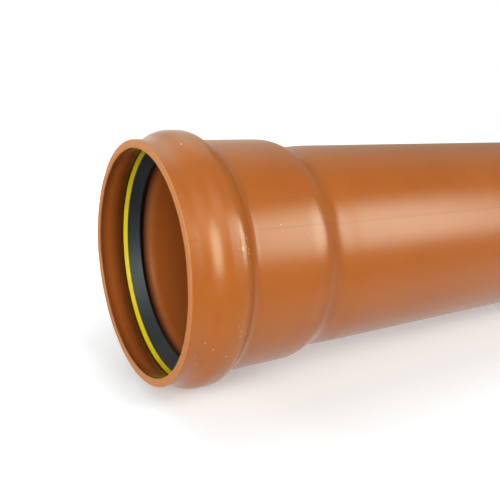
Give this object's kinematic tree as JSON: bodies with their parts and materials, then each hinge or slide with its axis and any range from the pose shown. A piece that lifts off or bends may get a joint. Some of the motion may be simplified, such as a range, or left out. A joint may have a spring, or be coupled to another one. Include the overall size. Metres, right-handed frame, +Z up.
{
  "type": "socket pipe",
  "caption": "Plastic drain pipe lying on its side, with a formed socket whose bead holds a rubber lip seal and its retaining ring, and a chamfered spigot at the far end.",
  "frame": {"origin": "centre of the footprint, on the floor that the bead and the spigot end rest on", "axes": "+X along the pipe from the socket to the spigot, +Z up; the pipe's axis leans 0.89 degrees down towards the spigot"},
  "size_m": [0.5676, 0.1268, 0.1268],
  "materials": {
    "pipe_plastic": "orange-brown extruded plastic, semi-gloss, with fine draw lines and a slight orange-peel on the formed bead",
    "seal_rubber": "black rubber, smooth, satin",
    "ring_plastic": "yellow moulded plastic, satin"
  },
  "bodies": {
    "root": {"pipe": "pipe_plastic", "lip_seal": "seal_rubber", "retaining_ring": "ring_plastic"}
  },
  "joints": []
}
